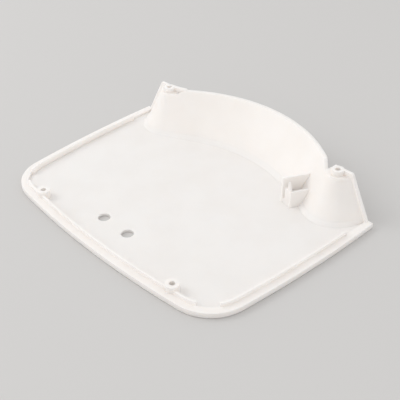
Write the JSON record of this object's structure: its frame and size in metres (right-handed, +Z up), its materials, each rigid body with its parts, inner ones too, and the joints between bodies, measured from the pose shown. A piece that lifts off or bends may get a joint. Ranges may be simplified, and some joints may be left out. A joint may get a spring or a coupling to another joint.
{
  "type": "indicator light cover",
  "caption": "Moulded tray-shaped cover with lamp holes, a leaning curved rear wall, conical screw towers and a clip.",
  "frame": {"origin": "on the flat show face, in the middle of the straight line between the two rear corners", "axes": "+X to the right along the rear line, -Y towards the bowed front edge, +Z up from the show face into the inside"},
  "size_m": [0.2108, 0.1648, 0.0323],
  "materials": {
    "cover": "fine satin, as moulded"
  },
  "bodies": {
    "root": {"indicator_cover": "cover"}
  },
  "joints": []
}
